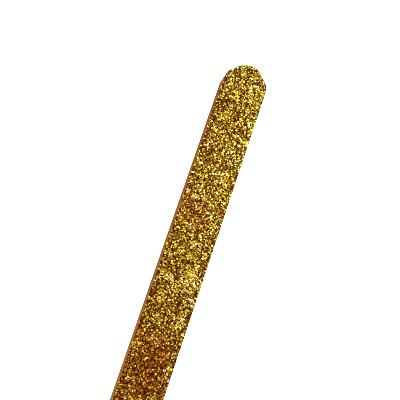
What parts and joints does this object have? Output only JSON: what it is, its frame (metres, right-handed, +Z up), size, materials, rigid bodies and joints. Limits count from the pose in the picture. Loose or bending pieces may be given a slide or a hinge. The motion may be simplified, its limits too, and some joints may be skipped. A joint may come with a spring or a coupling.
{
  "type": "rhythmic ribbon wand",
  "caption": "Flat wand for a rhythmic gymnastics ribbon: a wooden lath faced with gold glitter, round at the butt, with a ferrule, swivels, link ring and sprung snap hook at the other end.",
  "frame": {"origin": "middle of the wand's length and width, on the surface it lies on", "axes": "+X along the wand toward its round butt, with the snap hook at -X; +Z up out of the front glitter sheet; +Y across the width, on the side away from the gate of the snap hook"},
  "size_m": [0.5385, 0.012, 0.0054],
  "materials": {
    "varnished_wood": "amber varnish over fine straight grain",
    "gold_glitter": "coarse metallised gold flakes in a dark amber binder",
    "brass": "satin, lightly tarnished",
    "bronze": "plain turned bronze",
    "steel": "turned, satin",
    "plated_steel": "bright nickel plating",
    "spring_steel": "drawn wire"
  },
  "bodies": {
    "stick": {"lath": "varnished_wood", "front_glitter_sheet": "gold_glitter", "back_glitter_sheet": "gold_glitter", "ferrule": "brass", "inner_rivet": "steel", "outer_rivet": "steel", "end_plug": "brass", "left_plug_pin": "steel", "right_plug_pin": "steel", "swivel_bush": "bronze"},
    "swivel": {"swivel_eye": "steel", "thrust_washer": "bronze"},
    "link": {"link_ring": "plated_steel"},
    "snap_swivel": {"snap_eye": "steel"},
    "hook": {"hook_body": "plated_steel", "gate_pin": "steel", "gate_spring": "spring_steel"},
    "gate": {"gate": "plated_steel"}
  },
  "joints": [
    {"name": "swivel_spin", "type": "hinge", "parent": "stick", "child": "swivel", "pos_m": [-0.235, 0, 0.0027], "axis": [1, 0, 0], "continuous": true},
    {"name": "link_swing", "type": "hinge", "parent": "swivel", "child": "link", "pos_m": [-0.235, 0, 0.0027], "axis": [0, 1, 0], "range_deg": [-85, 85]},
    {"name": "snap_swing", "type": "hinge", "parent": "link", "child": "snap_swivel", "pos_m": [-0.2434, 0, 0.0027], "axis": [0, 1, 0], "range_deg": [-75, 75]},
    {"name": "hook_spin", "type": "hinge", "parent": "snap_swivel", "child": "hook", "pos_m": [-0.2434, 0, 0.0027], "axis": [1, 0, 0], "continuous": true},
    {"name": "gate_open", "type": "hinge", "parent": "hook", "child": "gate", "pos_m": [-0.25325, -0.0048, 0.0027], "axis": [0, 0, -1], "range_deg": [0, 35], "stiffness_Nm_per_rad": 0.004, "springref_deg": -22.92, "deforming": ["gate_spring"]}
  ]
}
